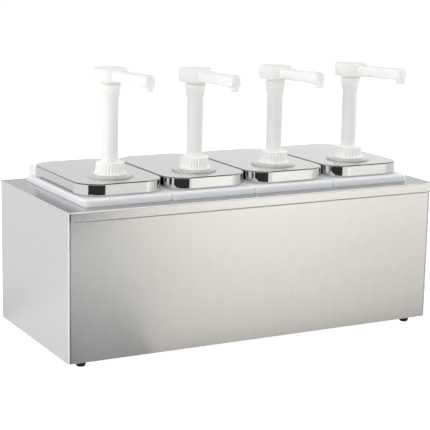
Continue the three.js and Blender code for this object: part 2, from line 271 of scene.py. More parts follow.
def steel(name, tint, rough, grain, grain_depth, smudge=0.05, contrast=0.04):
    """Stainless sheet: grain lines along one axis, faint clouds of handling marks."""
    material, tree, shader = start_material(name)
    shader.inputs["Metallic"].default_value = 1.0
    lines = noise(tree, 1.0, grain, detail=4.0, rough=0.7)
    clouds = noise(tree, 75.0, (1, 1, 0.6), detail=4.0, rough=0.6)
    light = tuple(min(1.0, c * (1 + contrast)) for c in tint)
    dark = tuple(c * (1 - contrast) for c in tint)
    streaks = ramp(tree, lines, dark, light, (0.25, 0.75))
    patches = ramp(tree, clouds, tuple(c * (1 - smudge) for c in tint), tint, (0.35, 0.65))
    tree.links.new(blend_values(tree, streaks, patches, 0.5), shader.inputs["Base Color"])
    line_rough = ramp(tree, lines, rough * 0.88, rough * 1.12, (0.3, 0.7))
    cloud_rough = ramp(tree, clouds, rough * 0.9, rough * 1.15, (0.3, 0.7))
    tree.links.new(blend_values(tree, line_rough, cloud_rough, 0.5), shader.inputs["Roughness"])
    bump(tree, shader, lines, grain_depth)
    return material


def plastic(name, tint, rough, scatter, radius, depth, grain, grain_depth, painted_glow=0.0):
    """Moulded plastic: soft scattering, slight mottling, a fine moulded texture, and a painted glow of its
    own tint.
    """
    material, tree, shader = start_material(name)
    shader.inputs["Subsurface Weight"].default_value = scatter
    shader.inputs["Subsurface Radius"].default_value = radius
    shader.inputs["Subsurface Scale"].default_value = depth
    shader.inputs["IOR"].default_value = 1.5
    # Painted glow: the surface gives off its own tint, which stands in for light that it gathers.
    shader.inputs["Emission Color"].default_value = (*tint, 1)
    shader.inputs["Emission Strength"].default_value = painted_glow
    clouds = noise(tree, 22.0, detail=4.0)
    fine = noise(tree, grain, detail=2.0)
    dark = tuple(c * 0.975 for c in tint)
    tree.links.new(ramp(tree, clouds, dark, tint), shader.inputs["Base Color"])
    tree.links.new(ramp(tree, clouds, rough * 0.88, rough * 1.12), shader.inputs["Roughness"])
    bump(tree, shader, fine, grain_depth)
    return material


def rubber(name, tint, rough):
    """Rubber with a dusty bloom and a fine pitted skin."""
    material, tree, shader = start_material(name)
    bloom = noise(tree, 120.0, detail=5.0)
    pits = noise(tree, 1800.0, detail=2.0)
    dusty = tuple(min(1.0, c * 1.7 + 0.01) for c in tint)
    tree.links.new(ramp(tree, bloom, tint, dusty, (0.4, 0.8)), shader.inputs["Base Color"])
    tree.links.new(ramp(tree, bloom, rough * 0.9, min(1.0, rough * 1.15)), shader.inputs["Roughness"])
    bump(tree, shader, pits, 0.00006)
    return material


# Grain: how fast it changes along X, Y and Z, so the lines run along the axis with the small number.
LENGTHWAYS = (6, 900, 900)
BACKWARDS = (900, 6, 900)
EVEN = (300, 300, 300)
front_steel = steel("front_steel", (0.765, 0.75, 0.722), 0.24, LENGTHWAYS, 0.000002, 0.06, 0.015)
# A darker copy of the sheet steel for the top plate: painted shade for its dim reflections.
shaded_plate_steel = steel("shaded_plate_steel", (0.58, 0.58, 0.597), 0.24, LENGTHWAYS, 0.000004)
side_steel = steel("side_steel", (0.775, 0.77, 0.775), 0.3, BACKWARDS, 0.000004)
# A pale, rough coat for the bright edges of folded sheet: a painted highlight in place of the edges'
# reflections.
highlight_steel = plastic(
    "painted_highlight_steel", (0.93, 0.92, 0.9), 0.45, scatter=0.0, radius=(1, 1, 1), depth=0.001, grain=900.0,
    grain_depth=0.00001,
)
inner_steel = steel("inner_steel", (0.6, 0.6, 0.6), 0.35, LENGTHWAYS, 0.000012)
mirror_steel = steel("mirror_steel", (0.66, 0.655, 0.645), 0.055, (30, 30, 400), 0.000001, 0.02)
satin_steel = steel("satin_steel", (0.6, 0.595, 0.585), 0.15, (900, 8, 900), 0.000002, 0.02)
disc_steel = steel("disc_steel", (0.62, 0.615, 0.6), 0.15, EVEN, 0.000001, 0.03)
wire_steel = steel("wire_steel", (0.55, 0.55, 0.55), 0.25, EVEN, 0.000004)
# The pans glow faintly in their own tint: painted light for the light that passes through the rims.
pan_plastic = plastic(
    "pan_plastic", (0.85, 0.868, 0.895), 0.3, scatter=0.7, radius=(1.0, 1.0, 1.1), depth=0.007, grain=500.0,
    grain_depth=0.00003, painted_glow=0.17,
)
# A whiter copy of the pans' plastic with about twice their glow, for the finger tab: painted light for the
# light behind the tab.
tab_glow_plastic = plastic(
    "tab_glow_plastic", (0.9, 0.91, 0.92), 0.3, scatter=0.7, radius=(1.0, 1.0, 1.0), depth=0.007, grain=500.0,
    grain_depth=0.00003, painted_glow=0.33,
)
# The pumps' plastic glows faintly in its own tint: painted light.
pump_plastic = plastic(
    "pump_plastic", (0.885, 0.885, 0.865), 0.33, scatter=0.2, radius=(1.0, 0.95, 0.9), depth=0.004,
    grain=700.0, grain_depth=0.00003, painted_glow=0.1,
)
# A paler copy of the pumps' plastic with twice its glow, for the cap nuts: painted light.
nut_plastic = plastic(
    "nut_plastic", (0.9, 0.9, 0.88), 0.3, scatter=0.2, radius=(1.0, 0.95, 0.9), depth=0.004,
    grain=700.0, grain_depth=0.00003, painted_glow=0.2,
)
grey_rubber = rubber("grey_rubber", (0.2, 0.205, 0.215), 0.6)
black_rubber = rubber("black_rubber", (0.012, 0.012, 0.013), 0.55)


# ---------------------------------------------------------------- steel box

SHEET = 1.5
# The drawing's clearance, and how far a piece that is clamped to its neighbour closes it.
FIT = 0.3
SEATED = 0.25
plate_low, plate_high = cad("top_frame")
plate_top = plate_high.z
box_left = cad("left_panel")[0].x
box_right = cad("right_panel")[1].x
pan_middle_y = middle("lid_1").y


def top_frame():
    """Plate with an opening for each pan, folded down along the front and the back."""
    fold = 2.2
    front, back, bottom = plate_low.y, plate_high.y, plate_low.z
    under = plate_top - SHEET
    outline = rounded([
        (front, bottom, 0.4),
        (front, plate_top, fold),
        (back, plate_top, fold),
        (back, bottom, 0.4),
        (back - SHEET, bottom, 0.4),
        (back - SHEET, under, fold - SHEET),
        (front + SHEET, under, fold - SHEET),
        (front + SHEET, bottom, 0.4),
    ], closed=True)
    sheet = solid("top_frame_sheet", bar(outline, plate_low.x, plate_high.x, "x"))
    cutters = []
    opening = (118.5 / 2, 193 / 2, 31)
    for bay in BAYS:
        centre = (middle(f"lid_{bay}").x, pan_middle_y)
        rings = [rounded_ring(centre, *opening, z) for z in (plate_top - 4, plate_top + 4)]
        cutters.append(solid("cutter", skin(rings)))
    # The aprons stop short of the plate's left end.
    notch, past = 3, 2.1
    for low_y, high_y in ((front - 1, front + past), (back - past, back + 1)):
        block = [(low_y, bottom - 1), (high_y, bottom - 1), (high_y, under), (low_y, under)]
        cutters.append(solid("cutter", bar(block, plate_low.x - 1, plate_low.x + notch, "x")))
    combine(sheet, cutters, "DIFFERENCE")
    steels = [shaded_plate_steel, front_steel, highlight_steel, side_steel]
    finish_piece(sheet, "housing", ["top_frame"], steels)
    for polygon in sheet.data.polygons:
        across, up = abs(polygon.normal.y), polygon.normal.z
        outside = not front + SHEET < polygon.center.y / MM < back - SHEET
        # Faces on the front and back folds take the pale coat, a painted highlight. The aprons take the front
        # panel's steel, and the plate's ends take the side panels' steel.
        if outside and across > 0.25 and up > 0.2:
            polygon.material_index = 2
        elif across > 0.9 and outside:
            polygon.material_index = 1
        elif abs(polygon.normal.x) > 0.9 and abs(polygon.center.x) > (plate_high.x - 1) * MM:
            polygon.material_index = 3


def end_panel(node, inward):
    """Front or back panel: its upper edge is folded inwards below the apron and runs up behind it.
    inward is 1 for the front panel and -1 for the back one."""
    low, high = cad(node)
    face = low.y if inward > 0 else high.y
    step = plate_low.z - 0.8
    joggle = 1.7

    def y(depth):
        return face + inward * depth

    outline = rounded([
        (y(0), low.z, 0.5),
        (y(0), step, 1.4),
        (y(joggle), step + 0.1, 0.1),
        (y(joggle), high.z, 0.2),
        (y(joggle + SHEET), high.z, 0.2),
        (y(joggle + SHEET), step - SHEET, 0.3),
        (y(SHEET), step - SHEET - 0.1, 0.1),
        (y(SHEET), low.z, 0.2),
    ], closed=True)
    sheet = solid(f"{node}_sheet", bar(outline, low.x, high.x, "x"))
    finish_piece(sheet, "housing", [node], [front_steel, highlight_steel])
    for polygon in sheet.data.polygons:
        # The rolled hem under the apron takes the pale coat: painted highlight.
        on_step = abs(polygon.center.z / MM - step) < 1.6 and polygon.normal.y * inward < 0.1
        polygon.material_index = 1 if on_step and polygon.normal.z > 0.15 else 0


def side_panel(node, outer, inward):
    """A sheet whose front and back edges are folded back on themselves."""
    low, high = cad(node)
    hem = high.x - low.x
    bend = hem / 2 - 0.02
    length = 9
    nose = 0.9
    top = high.z + SEATED

    def x(depth):
        return outer + inward * depth

    outline = rounded([
        (x(0), low.y, bend),
        (x(hem), low.y, bend),
        (x(hem), low.y + length, 0.3),
        (x(SHEET), low.y + length, 0),
        (x(SHEET), high.y - length, 0),
        (x(hem), high.y - length, 0.3),
        (x(hem), high.y, bend),
        (x(0), high.y, bend),
    ], closed=True, steps=6)
    sheet = solid(f"{node}_sheet", bar(outline, low.z, top, "z"))
    finish_piece(sheet, "housing", [node], [side_steel, highlight_steel])
    for polygon in sheet.data.polygons:
        y = polygon.center.y / MM
        # The rounded-over noses of the folds take the pale coat: painted highlight.
        rounded_over = abs(polygon.normal.y) > 0.3 and (y < low.y + nose or y > high.y - nose)
        polygon.material_index = 1 if rounded_over else 0


def bottom_panel():
    low, high = cad("bottom_panel")
    outline = rounded([
        (low.y, low.z, 0.3),
        (high.y, low.z, 0.3),
        (high.y, high.z, 0.3),
        (low.y, high.z, 0.3),
    ], closed=True)
    shape = bar(outline, low.x, high.x, "x")
    piece("bottom_panel_sheet", shape, "housing", ["bottom_panel"], inner_steel)


def foot(node):
    low, high = cad(node)
    centre = middle(node)
    radius = (high.x - low.x) / 2
    profile = rounded([
        (0.01, low.z, 0),
        (radius - 1.8, low.z, 1.4),
        (radius, low.z + 5, 2.0),
        (radius, high.z, 0.4),
        (0.01, high.z, 0),
    ])
    shape = lathe(centre, profile, 48, loop=False)
    piece(f"{node}_rubber", shape, "housing", [node], black_rubber)


top_frame()
end_panel("front_panel", 1)
side_panel("left_panel", box_left, 1)
side_panel("right_panel", box_right, -1)
end_panel("back_panel", -1)
bottom_panel()
for corner in ("front_left", "front_right", "back_left", "back_right"):
    foot(f"foot_{corner}")


# ---------------------------------------------------------------- pans


def inset(size, amount, z):
    """A ring (half_x, half_y, corner radius, z) drawn inwards by an amount."""
    return (size[0] - amount, size[1] - amount, max(0.3, size[2] - amount), z)


def quarter_round(size, radius, z, steps=5):
    """Rings of a rounded upper edge, from the wall to the top at z."""
    rings = []
    for k in range(steps + 1):
        angle = math.pi / 2 * k / steps
        rings.append(inset(size, radius * (1 - math.cos(angle)), z - radius * (1 - math.sin(angle))))
    return rings


def bowl(size, radius, z, steps=5):
    """Rings of a rounded lower edge, from the wall to the bottom at z."""
    rings = []
    for k in range(steps + 1):
        angle = math.pi / 2 * k / steps
        rings.append(inset(size, radius * (1 - math.cos(angle)), z + radius * (1 - math.sin(angle))))
    return rings


# Above the top plate. The rim's underside all but touches it.
RIM_BOTTOM = 0.03
RIM_TOP = 10.5
# Sizes as (half_x, half_y, corner radius), at the level of the rim's top.
TUB = (116.5 / 2, 95, 30)
MOUTH = (112.5 / 2, 92.5, 28)
# How much narrower the tub is at its floor.
TUB_TAPER = 0.94
pan_low, pan_high = cad("pan_1")
rim_half = ((pan_high.x - pan_low.x) / 2, (pan_high.y - pan_low.y) / 2, 8)


def pan(bay):
    """Tapered tub under a hollow rim, with a finger tab."""
    node = f"pan_{bay}"
    low = cad(node)[0]
    centre = (middle(f"lid_{bay}").x, pan_middle_y)
    rim_bottom, rim_top = plate_top + RIM_BOTTOM, plate_top + RIM_TOP
    skirt, flange, floor, outer_bend, inner_bend = 2.5, 2.5, 2.5, 6, 5

    def scaled(size, z):
        share = (z - low.z) / (rim_top - low.z)
        scale = TUB_TAPER + (1 - TUB_TAPER) * share
        return (size[0] * scale, size[1] * scale, size[2] * scale, z)

    rings = bowl(scaled(TUB, low.z + outer_bend), outer_bend, low.z)[::-1]
    rings.append(scaled(TUB, rim_top - flange - 1))
    rings.append(inset(scaled(TUB, rim_top - flange), -1, rim_top - flange))
    rings.extend([
        inset(rim_half, skirt, rim_top - flange),
        inset(rim_half, skirt, rim_bottom + 0.4),
        inset(rim_half, skirt - 0.4, rim_bottom),
        inset(rim_half, 0.6, rim_bottom),
        inset(rim_half, 0.05, rim_bottom + 0.6),
    ])
    rings.extend(quarter_round(inset(rim_half, 0.1, 0), 3.0, rim_top, steps=8))
    rings.extend([
        inset(scaled(MOUTH, rim_top), -1.4, rim_top),
        inset(scaled(MOUTH, rim_top), -0.4, rim_top - 0.4),
        scaled(MOUTH, rim_top - 1.4),
        scaled(MOUTH, low.z + floor + inner_bend),
    ])
    rings.extend(bowl(scaled(MOUTH, low.z + floor), inner_bend, low.z + floor)[1:])
    tub = solid(f"{node}_tub", skin([rounded_ring(centre, *ring) for ring in rings]))
    combine(tub, [finger_tab(centre, rim_top)], "UNION")
    finish_piece(tub, node, [node], [pan_plastic, tab_glow_plastic], sharp=50)
    # Above the rim the tab takes its whiter, brighter-glowing copy: painted light.
    for polygon in tub.data.polygons:
        polygon.material_index = 1 if polygon.center.z > (rim_top + 0.5) * MM else 0


def finger_tab(centre, rim_top):
    """Upright tongue on the rim's back left corner, rounded at the top and along its faces' edges."""
    half, tip, height, thick = 7.5, 3.6, 13.5, 2.5
    x = centre[0] - rim_half[0] + half + FIT
    outline = rounded([
        (-half, -1.2, 0),
        (half, -1.2, 0),
        (tip, height, 3.2),
        (-tip, height, 3.2),
    ], closed=True, steps=8)
    back = centre[1] + rim_half[1] - 3
    rings = []
    for share, shrink in ((0, 0.7), (0.2, 0.15), (0.35, 0), (0.65, 0), (0.8, 0.15), (1, 0.7)):
        wide, tall = 1 - shrink / half, 1 - shrink / height
        y = back - thick * share
        rings.append([(x + a * wide, y, rim_top + b * tall) for a, b in outline])
    return solid("tab", skin(rings))


for bay in BAYS:
    pan(bay)


# ---------------------------------------------------------------- lids


# Sizes as (half_x, half_y, corner radius).
LID = (62, 193.7 / 2, 32.9)
LIP = (55.5, 91.7, 27.2)
LIP_DEPTH = 5
LID_SHEET = 1.2
# The radius of the hole for the pump through the lid, the disc and the nut.
PUMP_HOLE = 16.8


def lid(bay):
    """Deep cap with a mirror skirt that curls in at its foot and ends in a lip, and a satin top."""
    node = f"lid_{bay}"
    low, high = cad(node)
    size, lip, sheet = LID, LIP, LID_SHEET
    bottom = low.z + LIP_DEPTH
    top = high.z
    rings = [
        inset(size, sheet + 1.2, top - sheet),
        inset(size, sheet + 0.3, top - sheet - 0.4),
        inset(size, sheet, top - sheet - 1.4),
        inset(size, sheet, bottom + sheet),
        inset(lip, sheet, bottom + sheet),
        inset(lip, sheet, low.z + 0.4),
        inset(lip, sheet / 2 + 0.2, low.z),
        inset(lip, sheet / 2 - 0.2, low.z),
        inset(lip, 0, low.z + 0.4),
        inset(lip, 0, bottom),
    ]
    curl = 2.2
    for k in range(7):
        angle = math.pi / 2 * k / 6
        rings.append(inset(size, curl * (1 - math.sin(angle)), bottom + curl * (1 - math.cos(angle))))
    rings.extend(quarter_round(size, 1.5, top, steps=6))
    cover = solid(f"{node}_cover", skin([rounded_ring(middle(node), *ring, steps=16) for ring in rings]))
    hole = skin([round_ring(middle(f"disc_{bay}"), PUMP_HOLE, z, 64) for z in (top - 4, top + 2)])
    combine(cover, [solid("cutter", hole)], "DIFFERENCE")
    finish_piece(cover, node, [node], [mirror_steel, satin_steel], sharp=25)
    for polygon in cover.data.polygons:
        on_top = polygon.normal.z > 0.995 and polygon.center.z > (top - 0.05) * MM
        polygon.material_index = 1 if on_top else 0


for bay in BAYS:
    lid(bay)


# ---------------------------------------------------------------- pumps


stem_low, stem_high = cad("stem_1")
stem_radius = (stem_high.x - stem_low.x) / 2
STEM_BORE = 6.5
NECK_RADIUS = 16.5


def disc(bay):
    """Thin plate between the lid and the nut, with a painted highlight on its edge."""
    low, high = cad(f"disc_{bay}")
    radius = (high.x - low.x) / 2
    base = low.z - SEATED
    profile = rounded([
        (PUMP_HOLE, base, 0.2),
        (radius, base, 0.1),
        (radius, high.z, 0.5),
        (PUMP_HOLE, high.z, 0.2),
    ], closed=True)
    plate = solid(f"disc_{bay}_plate", lathe(middle(f"disc_{bay}"), profile, 96))
    finish_piece(plate, f"lid_{bay}", [f"disc_{bay}"], [disc_steel, highlight_steel])
    for polygon in plate.data.polygons:
        # The disc's rim takes the pale coat: painted highlight.
        polygon.material_index = 1 if abs(polygon.normal.z) < 0.8 else 0


def cap_nut(bay):
    """Ribbed nut: the ribs fade out at the crown and run down over the flared foot."""
    node = f"cap_nut_{bay}"
    low, high = cad(node)
    centre = middle(node)
    ribs, samples = 30, 8
    segments = ribs * samples
    widest = (high.x - low.x) / 2
    bore, well, crown = stem_radius + FIT, PUMP_HOLE, widest - 3.0
    deepest = 0.95
    base = low.z - SEATED
    outer = rounded([
        (widest - 1, base, 0),
        (widest, base, 0.3),
        (widest, base + 0.9, 0.3),
        (crown + 1.0, base + 3.8, 2.5),
        (crown + 0.2, base + 7.5, 3),
        (crown, high.z - 1.0, 0.5),
        (crown - 1.0, high.z, 0.7),
        (bore + 1.4, high.z, 0.5),
    ])
    inner = rounded([
        (bore + 1.4, high.z, 0),
        (bore, high.z - 0.2, 0.5),
        (bore, high.z - 3, 0.2),
        (well, high.z - 3, 0.3),
        (well, base, 0.3),
        (widest - 1, base, 0),
    ])

    def ring(radius, z, depth):
        points = []
        for k in range(segments):
            angle = 2 * math.pi * k / segments
            wave = 0.5 - 0.5 * math.cos(2 * math.pi * (k % samples) / samples)
            r = radius - depth * (wave ** 1.6)
            points.append((centre.x + r * math.cos(angle), centre.y + r * math.sin(angle), z))
        return points

    rings = []
    for radius, z in outer:
        up = (z - low.z) / (high.z - low.z)
        fade = min(1, max(0, up / 0.08)) * min(1, max(0, (0.99 - up) / 0.05))
        rings.append(ring(radius, z, deepest * fade))
    rings.extend(ring(radius, z, 0) for radius, z in inner[1:-1])
    shape = skin(rings, loop=True)
    piece(f"{node}_ribbed", shape, f"lid_{bay}", [node], nut_plastic, sharp=60)


def stem(bay):
    """Hollow plunger stem with a groove for the piston seal at its foot."""
    node = f"stem_{bay}"
    low, high = cad(node)
    seal_low, seal_high = cad(f"piston_seal_{bay}")
    radius, bore, neck = (high.x - low.x) / 2, STEM_BORE, 8
    profile = rounded([
        (bore, low.z, 0.4),
        (radius, low.z, 0.6),
        (radius, seal_low.z - FIT, 0.2),
        (neck, seal_low.z - FIT, 0.2),
        (neck, seal_high.z + FIT, 0.2),
        (radius, seal_high.z + FIT, 0.4),
        (radius, high.z, 0.5),
        (bore, high.z, 0.4),
    ], closed=True, steps=4)
    shape = lathe(middle(node), profile, 72)
    piece(f"{node}_tube", shape, f"plunger_{bay}", [node], pump_plastic)


def piston_seal(bay):
    """Double-lipped cup."""
    node = f"piston_seal_{bay}"
    low, high = cad(node)
    radius, inner, waist = (high.x - low.x) / 2, 8.3, 11.2
    profile = rounded([
        (inner, low.z, 0.2),
        (radius - 1.2, low.z, 0.2),
        (radius, low.z + 0.3, 0.3),
        (waist, low.z + 3, 0.5),
        (waist, high.z - 3, 0.5),
        (radius, high.z - 0.3, 0.3),
        (radius - 1.2, high.z, 0.2),
        (inner, high.z, 0.2),
    ], closed=True, steps=4)
    shape = lathe(middle(node), profile, 64)
    piece(f"{node}_cup", shape, f"plunger_{bay}", [node], grey_rubber)


def collar(bay):
    """Grooved sleeve that widens upwards."""
    node = f"collar_{bay}"
    low, high = cad(node)
    bands = 4
    height = (high.z - low.z) / bands
    widest = (high.x - low.x) / 2
    flare = 1.5
    corners = [(stem_radius + FIT, low.z, 0.3)]
    for k in range(bands):
        radius = widest - flare * (1 - k / (bands - 1))
        base = low.z + k * height
        corners.append((radius - 1.1 if k else radius, base + (0.35 if k else 0), 0.1 if k else 0.4))
        if k:
            corners.append((radius, base + 0.7, 0.3))
        corners.append((radius, base + height - 0.35, 0.3))
        if k < bands - 1:
            corners.append((radius - 1.0, base + height, 0.1))
    corners.append((stem_radius + FIT, high.z - 0.05, 0.2))
    shape = lathe(middle(node), rounded(corners, closed=True, steps=3), 72)
    piece(f"{node}_sleeve", shape, f"plunger_{bay}", [node], pump_plastic, sharp=50)


def cylinder(bay):
    """Barrel that hangs in the pan, with the inlet valve's chamber and the tube's socket at its foot."""
    node = f"cylinder_{bay}"
    low, high = cad(node)
    lid_top = cad(f"lid_{bay}")[1].z
    ball_low, _ = cad(f"inlet_ball_{bay}")
    spring_low, _ = cad("return_spring_2")
    floor = spring_low.z - 0.35
    seat = ball_low.z + 1.1
    shoulder = lid_top - 1.5
    # The plunger's upper stop, above the ground.
    stop = 222
    bore, guide = 12.5, stem_radius + FIT
    chamber, spigot, cage, valve = 5.4, 8.6, 3.6, 3.0
    collar_radius = 20.5
    profile = rounded([
        (chamber, low.z, 0.3),
        (spigot, low.z, 0.6),
        (spigot, floor - 7, 1.5),
        (NECK_RADIUS, floor - 3.5, 1.5),
        (NECK_RADIUS, shoulder - 3, 0.4),
        (collar_radius, shoulder - 3, 0.5),
        (collar_radius, shoulder, 0.5),
        (NECK_RADIUS, shoulder, 0.2),
        (NECK_RADIUS, high.z, 0.6),
        (guide, high.z, 0.4),
        (guide, stop, 0.3),
        (bore, stop - 0.2, 0.2),
        (bore, floor, 0.6),
        (cage, floor, 0.4),
        (cage, floor - 4, 0.2),
        (chamber, floor - 4, 0.2),
        (chamber, seat, 0.3),
        (valve, seat, 0.1),
        (valve, seat - 4, 0.1),
        (chamber, seat - 4, 0.2),
    ], closed=True, steps=3)
    shape = lathe(middle(node), profile, 64)
    piece(f"{node}_barrel", shape, f"lid_{bay}", [node], pump_plastic)


def suction_tube(bay):
    """Tube cut at a slant at its lower end, so that it can't close itself on the pan's floor."""
    node = f"suction_tube_{bay}"
    low, high = cad(node)
    centre = middle(node)
    wall, slant = 1.2, 0.45
    outer, inner = (high.x - low.x) / 2, (high.x - low.x) / 2 - wall

    def slanted(radius, level):
        ring = round_ring(centre, radius, level, 40)
        return [(x, y, z + (x - centre.x + outer) * slant) for x, y, z in ring]

    rings = [slanted(inner, low.z), slanted(outer, low.z)]
    rings.extend([round_ring(centre, outer, high.z, 40), round_ring(centre, inner, high.z, 40)])
    piece(f"{node}_pipe", skin(rings, loop=True), f"lid_{bay}", [node], pump_plastic)


def return_spring(bay):
    """Coil with closed ends that lie flat."""
    node = f"return_spring_{bay}"
    low, high = cad(node)
    centre = middle(node)
    wire, radius = 0.75, 10.2
    turns, steps, sides = 9, 40, 8
    total = turns * steps
    bottom, top = low.z + wire, high.z - wire

    def centre_line(t):
        """The first and last turns are nearly flat."""
        rise = min(1, max(0, (t * turns - 0.9) / (turns - 1.8)))
        closed = 2.1 * wire
        level = bottom + closed * min(1, t * turns) + (top - bottom - 2 * closed) * rise
        level += closed * max(0, t * turns - (turns - 1))
        angle = 2 * math.pi * turns * t
        return Vector((centre.x + radius * math.cos(angle), centre.y + radius * math.sin(angle), level))

    rings = []
    for k in range(total + 1):
        t = k / total
        point = centre_line(t)
        outward = Vector((point.x - centre.x, point.y - centre.y, 0)).normalized()
        ahead = (centre_line(min(1, t + 1e-4)) - centre_line(max(0, t - 1e-4))).normalized()
        up = ahead.cross(outward).normalized()
        ring = []
        for s in range(sides):
            angle = 2 * math.pi * s / sides
            ring.append(tuple(point + outward * wire * math.cos(angle) + up * wire * math.sin(angle)))
        rings.append(ring)
    coil = piece(f"{node}_coil", skin(rings), f"lid_{bay}", [node], wire_steel, sharp=60)
    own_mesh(coil)


def inlet_ball(bay):
    node = f"inlet_ball_{bay}"
    low, high = cad(node)
    radius = (high.z - low.z) / 2
    centre = middle(node)
    profile = []
    for k in range(25):
        angle = math.pi * k / 24
        profile.append((max(0.02, radius * math.sin(angle)), centre.z - radius * math.cos(angle)))
    shape = lathe(centre, profile, 36, loop=False)
    piece(f"{node}_bead", shape, f"ball_{bay}", [node], wire_steel, sharp=80)


# The four heads share one mesh, drawn on the origin and pointing to the front. Heights are above the
# nozzle's mouth.
HEAD_VOXEL = 0.6
HUB_BASE = 6.0
NECK_BASE = HUB_BASE - 4.3
NOZZLE_REACH = 90
PASSAGE_RADIUS = 3.5
PASSAGE_HEIGHT = HUB_BASE + 7.8


def head_hub(height):
    """Domed hub on a short neck; the hub's wall reaches down past the spout's underside."""
    hub_radius, neck_radius = 23.5, 13.4
    wall_base = HUB_BASE - 1.5
    return lathe((0, 0), rounded([
        (0.01, NECK_BASE, 0),
        (neck_radius, NECK_BASE, 0.6),
        (neck_radius, wall_base, 0.8),
        (hub_radius, wall_base, 1.6),
        (hub_radius, height - 1.6, 1.6),
        (hub_radius - 3, height - 0.5, 4),
        (0.01, height, 0),
    ], steps=6), 96, loop=False)


def head_spout():
    """Level spout that narrows a little and is rounded at its tip."""
    reach, root, half_root, half_tip, nose = 95.9, 6, 11.0, 9.6, 7
    top_root, top_tip = HUB_BASE + 15.6, HUB_BASE + 15.9
    sections = []
    for k in range(21):
        t = k / 20
        half = half_root + (half_tip - half_root) * t
        dip = 0.7 * math.sin(math.pi * t)
        top = top_root + (top_tip - top_root) * t - dip
        sections.append((-(root + (reach - root - nose) * t), half, HUB_BASE, top))
    for k in range(1, 9):
        angle = math.pi / 2 * k / 8
        drop = 1 - math.cos(angle)
        y = -(reach - nose + nose * math.sin(angle))
        sections.append((y, half_tip - 4.5 * drop, HUB_BASE + 2.0 * drop, top_tip - 5.5 * drop))
    rings = []
    for y, half, bottom, top in sections:
        corner = min(5.0, half * 0.75, (top - bottom) / 2 - 0.2)
        ring = rounded([
            (-half, bottom, corner * 0.6),
            (half, bottom, corner * 0.6),
            (half * 0.96, top, corner),
            (-half * 0.96, top, corner),
        ], closed=True, steps=6)
        rings.append([(a, y, b) for a, b in ring])
    return skin(rings)


def head_nozzle():
    return lathe((0, -NOZZLE_REACH), rounded([
        (0.01, 0, 0),
        (6.2, 0, 0.6),
        (6.75, 1.5, 1),
        (6.75, HUB_BASE + 5, 0),
        (0.01, HUB_BASE + 5, 0),
    ]), 64, loop=False)


def head_passages():
    """The stem's socket, the chamber over it, the duct along the spout and the drain in the nozzle."""

    def drum(centre, radius, low, high, segments):
        return lathe(centre, [(0.01, low), (radius, low), (radius, high), (0.01, high)], segments, loop=False)

    duct = []
    for y in (0, -NOZZLE_REACH - 1):
        angles = [math.pi / 12 * k for k in range(24)]
        circle = [(PASSAGE_RADIUS * math.cos(a), PASSAGE_RADIUS * math.sin(a)) for a in angles]
        duct.append([(x, y, PASSAGE_HEIGHT + z) for x, z in circle])
    return [
        drum((0, 0), stem_radius + FIT, -2, NECK_BASE + 7.3, 48),
        drum((0, 0), STEM_BORE, NECK_BASE + 5, PASSAGE_HEIGHT + PASSAGE_RADIUS, 32),
        drum((0, -NOZZLE_REACH), 4, -2, PASSAGE_HEIGHT, 32),
        skin(duct),
    ]


def head_mesh():
    """Hub, spout and nozzle joined and softened as one moulding, then bored out."""
    low, high = cad("head_2")
    body = solid("head", head_hub(high.z - low.z))
    combine(body, [solid("part", head_spout()), solid("part", head_nozzle())], "UNION")
    remesh = body.modifiers.new("even", "REMESH")
    remesh.mode = "VOXEL"
    remesh.voxel_size = HEAD_VOXEL * MM
    smooth = body.modifiers.new("soften", "SMOOTH")
    smooth.factor = 0.5
    smooth.iterations = 6
    settle(body)
    combine(body, [solid("cutter", shape) for shape in head_passages()], "DIFFERENCE")
    mesh = body.data
    bpy.data.objects.remove(body)
    return mesh


shared_head = head_mesh()
# The heads swivel this many degrees either side of straight ahead.
HEAD_SWIVEL = 30


def head(bay):
    """The shared mesh on this pump's axis, turned as the head stands at rest."""
    node = f"head_{bay}"
    low = cad(node)[0]
    joint = AXES[f"head_{bay}_swivel"]
    axis = Vector(joint["pos_m"])
    yaw = HEAD_SWIVEL - joint["range_deg"][1]
    mesh = shared_head.copy()
    turn = Matrix.Translation((axis.x, axis.y, low.z * MM)) @ Matrix.Rotation(math.radians(yaw), 4, "Z")
    mesh.transform(turn)
    mesh.name = f"{node}_spout"
    finish_piece(new_object(f"{node}_spout", mesh), node, [node], [pump_plastic], sharp=60)


for bay in BAYS:
    disc(bay)
    cap_nut(bay)
    stem(bay)
    piston_seal(bay)
    collar(bay)
    cylinder(bay)
    suction_tube(bay)
    return_spring(bay)
    inlet_ball(bay)
    head(bay)


# ---------------------------------------------------------------- floor, lights and camera


def plane(name, corners, material):
    mesh = bpy.data.meshes.new(name)
    mesh.from_pydata(corners, [], [(0, 1, 2, 3)])
    obj = new_object(name, mesh)
    obj.data.materials.append(material)
    return obj


def floor():
    material, tree, shader = start_material("floor_paper")
    grain = noise(tree, 60.0)
    tree.links.new(ramp(tree, grain, (0.93, 0.93, 0.93), (0.95, 0.95, 0.95)), shader.inputs["Base Color"])
    shader.inputs["Roughness"].default_value = 0.9
    shader.inputs["Specular IOR Level"].default_value = 0.1
    shader.inputs["Emission Color"].default_value = (1, 1, 1, 1)
    seen = tree.nodes.new("ShaderNodeLightPath")
    tree.links.new(seen.outputs["Is Camera Ray"], shader.inputs["Emission Strength"])
    half = 6.0
    plane("floor", [(-half, -half, 0), (half, -half, 0), (half, half, 0), (-half, half, 0)], material)


def only_reflected(obj):
    """Studio pieces that show in the steel and nowhere else."""
    obj.visible_camera = False
    obj.visible_diffuse = False
    obj.visible_shadow = False


